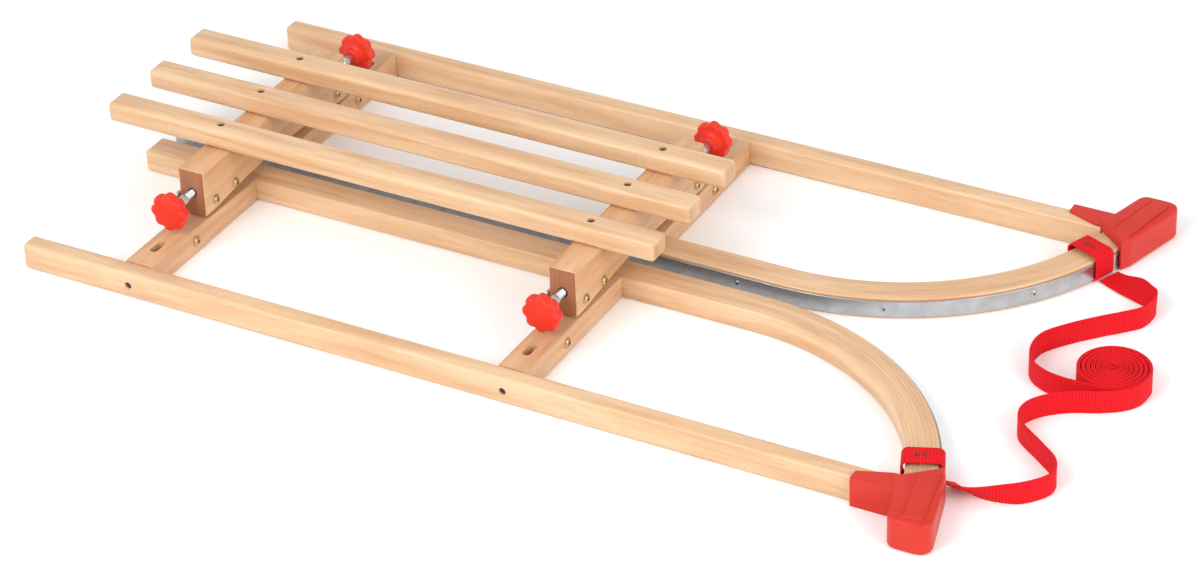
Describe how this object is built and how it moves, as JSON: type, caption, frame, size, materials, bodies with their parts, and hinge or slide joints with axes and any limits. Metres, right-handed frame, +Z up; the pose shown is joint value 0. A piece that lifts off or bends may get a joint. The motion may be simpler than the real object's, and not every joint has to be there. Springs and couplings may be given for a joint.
{
  "type": "folding wooden toboggan",
  "caption": "Folding wooden toboggan lying flat: slatted seat between two hinged side frames with steel-shod runners, horn caps, star screws and a webbing pull strap.",
  "frame": {"origin": "on the floor, under the middle of the folded sled's length and width", "axes": "+X along the sled towards the horns, +Z up, -Y the right side"},
  "size_m": [1.128, 0.628, 0.105],
  "materials": {
    "beech": "satin lacquer",
    "zinc_steel": "zinc plated",
    "brass": "polished",
    "dark_screw": "blackened",
    "red_plastic": "moulded, soft gloss",
    "webbing": "woven polyester"
  },
  "bodies": {
    "seat": {"seat_slat_right": "beech", "seat_slat_middle": "beech", "seat_slat_left": "beech", "slat_screw_rear_right": "dark_screw", "slat_screw_rear_middle": "dark_screw", "slat_screw_rear_left": "dark_screw", "slat_screw_front_right": "dark_screw", "slat_screw_front_middle": "dark_screw", "slat_screw_front_left": "dark_screw", "rear_beam": "beech", "hinge_plate_rear_right": "zinc_steel", "hinge_bolt_rear_right_inner": "brass", "hinge_bolt_rear_right_outer": "brass", "hinge_plate_rear_left": "zinc_steel", "hinge_bolt_rear_left_inner": "brass", "hinge_bolt_rear_left_outer": "brass", "front_beam": "beech", "hinge_plate_front_right": "zinc_steel", "hinge_bolt_front_right_inner": "brass", "hinge_bolt_front_right_outer": "brass", "hinge_plate_front_left": "zinc_steel", "hinge_bolt_front_left_inner": "brass", "hinge_bolt_front_left_outer": "brass", "strap_roll": "webbing", "right_strap_strand": "webbing", "left_strap_strand": "webbing"},
    "right_frame": {"right_rail": "beech", "right_rail_screw_rear": "dark_screw", "right_rail_screw_front": "dark_screw", "right_rear_upright": "beech", "right_front_upright": "beech", "right_rear_pivot": "brass", "right_front_pivot": "brass", "right_runner": "beech", "right_runner_shoe": "zinc_steel", "right_horn_cap": "red_plastic", "right_strap_loop": "webbing"},
    "left_frame": {"left_rail": "beech", "left_rail_screw_rear": "dark_screw", "left_rail_screw_front": "dark_screw", "left_rear_upright": "beech", "left_front_upright": "beech", "left_rear_pivot": "brass", "left_front_pivot": "brass", "left_runner": "beech", "left_runner_shoe": "zinc_steel", "left_horn_cap": "red_plastic", "left_strap_loop": "webbing"},
    "rear_right_star_screw": {"star_bolt_rear_right": "zinc_steel", "star_knob_rear_right": "red_plastic"},
    "rear_left_star_screw": {"star_bolt_rear_left": "zinc_steel", "star_knob_rear_left": "red_plastic"},
    "front_right_star_screw": {"star_bolt_front_right": "zinc_steel", "star_knob_front_right": "red_plastic"},
    "front_left_star_screw": {"star_bolt_front_left": "zinc_steel", "star_knob_front_left": "red_plastic"}
  },
  "joints": [
    {"name": "right_frame_fold", "type": "hinge", "parent": "seat", "child": "right_frame", "pos_m": [0, -0.161, 0.014], "axis": [-1, 0, 0], "range_deg": [0, 8]},
    {"name": "left_frame_fold", "type": "hinge", "parent": "seat", "child": "left_frame", "pos_m": [0, 0.161, 0.014], "axis": [1, 0, 0], "range_deg": [0, 8]},
    {"name": "rear_right_star_screw_turn", "type": "hinge", "parent": "seat", "child": "rear_right_star_screw", "pos_m": [-0.3925, -0.16, 0.056], "axis": [0, -1, 0], "continuous": true},
    {"name": "rear_left_star_screw_turn", "type": "hinge", "parent": "seat", "child": "rear_left_star_screw", "pos_m": [-0.3925, 0.16, 0.056], "axis": [0, 1, 0], "continuous": true},
    {"name": "front_right_star_screw_turn", "type": "hinge", "parent": "seat", "child": "front_right_star_screw", "pos_m": [0.0445, -0.16, 0.056], "axis": [0, -1, 0], "continuous": true},
    {"name": "front_left_star_screw_turn", "type": "hinge", "parent": "seat", "child": "front_left_star_screw", "pos_m": [0.0445, 0.16, 0.056], "axis": [0, 1, 0], "continuous": true}
  ]
}
